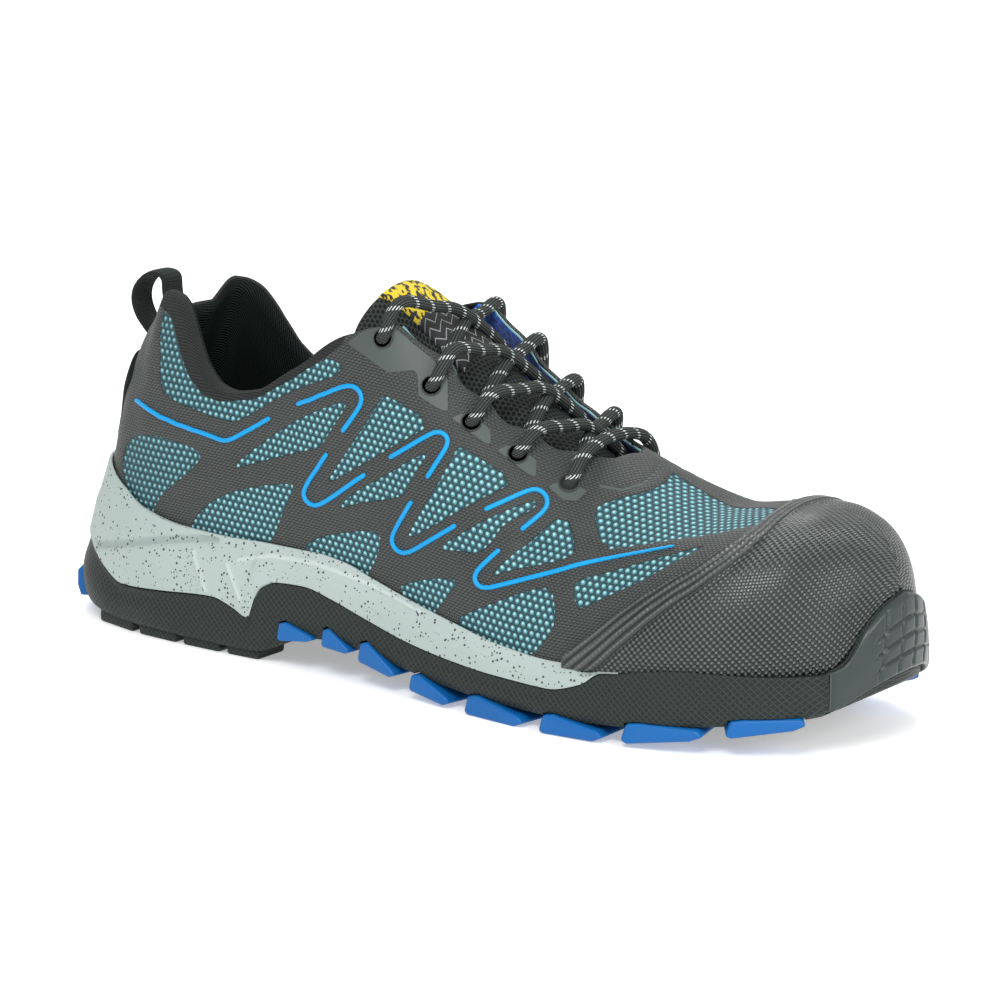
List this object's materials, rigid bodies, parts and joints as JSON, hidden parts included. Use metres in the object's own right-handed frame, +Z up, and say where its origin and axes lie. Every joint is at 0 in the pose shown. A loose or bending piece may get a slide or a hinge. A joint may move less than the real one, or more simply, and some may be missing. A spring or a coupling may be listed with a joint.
{
  "type": "safety sneaker",
  "caption": "Low-cut lace-up safety sneaker for the right foot, with padded collar, mesh upper with raised lines, leather toe cap, speckled midsole and lugged outsole.",
  "frame": {"origin": "on the floor, on the flat rest of the heel, 55 mm ahead of the sole's rearmost point", "axes": "+X towards the toe, +Y towards the inner side of the foot, +Z up"},
  "size_m": [0.3031, 0.1111, 0.122],
  "materials": {
    "upper_fabric": "film over open mesh, satin",
    "midsole_foam": "speckled moulded foam, matt",
    "outsole_rubber": "moulded rubber, matt",
    "bumper_rubber": "moulded rubber, satin, grooved",
    "blue_rubber": "moulded rubber, satin",
    "insole_fabric": "brushed knit",
    "toe_cap_leather": "coated, fine woven grain, satin",
    "counter_plastic": "smooth moulded film",
    "tongue_fabric": "padded open mesh",
    "label_fabric": "woven flecked ribbon",
    "webbing": "woven ribbon",
    "lace": "round braid with light flecks"
  },
  "bodies": {
    "root": {"upper": "upper_fabric", "midsole": "midsole_foam", "outsole": "outsole_rubber", "insole": "insole_fabric", "toe_cap": "toe_cap_leather", "heel_counter": "counter_plastic", "toe_bumper": "bumper_rubber", "tongue": "tongue_fabric", "tongue_label": "label_fabric", "pull_loop": "webbing", "lug_heel": "blue_rubber", "lug_lateral_1": "blue_rubber", "lug_lateral_2": "blue_rubber", "lug_lateral_3": "blue_rubber", "lug_lateral_4": "blue_rubber", "lug_lateral_5": "blue_rubber", "lug_lateral_6": "blue_rubber", "lug_lateral_7": "blue_rubber", "lug_lateral_8": "blue_rubber", "lug_medial_1": "blue_rubber", "lug_medial_2": "blue_rubber", "lug_medial_3": "blue_rubber", "lug_medial_4": "blue_rubber", "lug_medial_5": "blue_rubber", "lug_medial_6": "blue_rubber", "lug_medial_7": "blue_rubber", "lug_medial_8": "blue_rubber", "lace_cross_1": "lace", "lace_cross_2": "lace", "lace_cross_3": "lace", "lace_cross_4": "lace", "lace_bar": "lace"}
  },
  "joints": []
}
